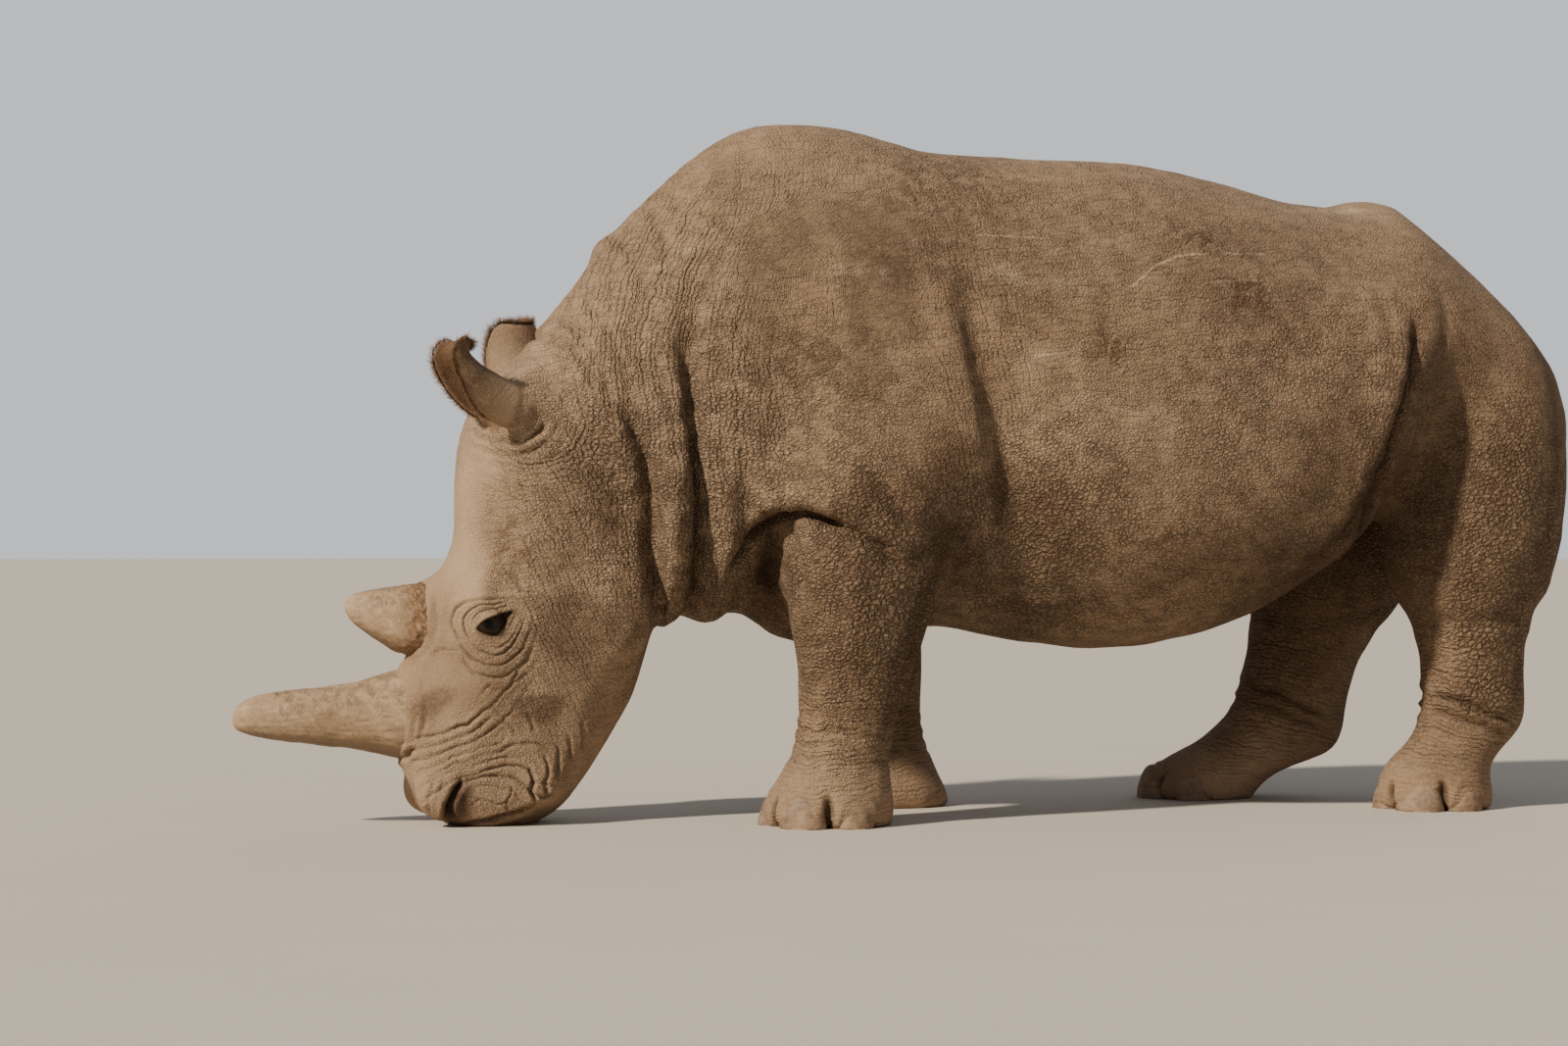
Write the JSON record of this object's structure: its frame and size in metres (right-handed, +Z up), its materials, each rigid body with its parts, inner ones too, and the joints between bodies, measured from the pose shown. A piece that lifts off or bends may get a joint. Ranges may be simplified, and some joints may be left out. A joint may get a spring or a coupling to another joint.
{
  "type": "white rhinoceros model",
  "caption": "Life-size still model of a white rhinoceros that stands with its head lowered to graze, its wide lips touching the ground.",
  "frame": {"origin": "on the floor, under the middle of the animal's outline box", "axes": "-X the way the animal faces, -Y its left side, +Z up"},
  "size_m": [3.3496, 1.0261, 1.6859],
  "materials": {
    "hide": "dry dusty wrinkled hide, matt",
    "horn": "fibrous keratin, worn smooth, satin",
    "nail": "dusty keratin, matt",
    "eye": "wet dark brown eye, glossy"
  },
  "bodies": {
    "root": {"head": "hide", "neck": "hide", "trunk": "hide", "tail": "hide", "ear_left": "hide", "ear_right": "hide", "fore_left_foot": "hide", "fore_left_lower_leg": "hide", "fore_left_upper_leg": "hide", "fore_right_foot": "hide", "fore_right_lower_leg": "hide", "fore_right_upper_leg": "hide", "hind_left_foot": "hide", "hind_left_lower_leg": "hide", "hind_left_upper_leg": "hide", "hind_right_foot": "hide", "hind_right_lower_leg": "hide", "hind_right_upper_leg": "hide", "fore_left_nail_middle": "nail", "fore_left_nail_outer": "nail", "fore_left_nail_inner": "nail", "fore_right_nail_middle": "nail", "fore_right_nail_outer": "nail", "fore_right_nail_inner": "nail", "hind_left_nail_middle": "nail", "hind_left_nail_outer": "nail", "hind_left_nail_inner": "nail", "hind_right_nail_middle": "nail", "hind_right_nail_outer": "nail", "hind_right_nail_inner": "nail", "horn_front": "horn", "horn_rear": "horn", "eye_left": "eye", "eye_right": "eye"}
  },
  "joints": []
}
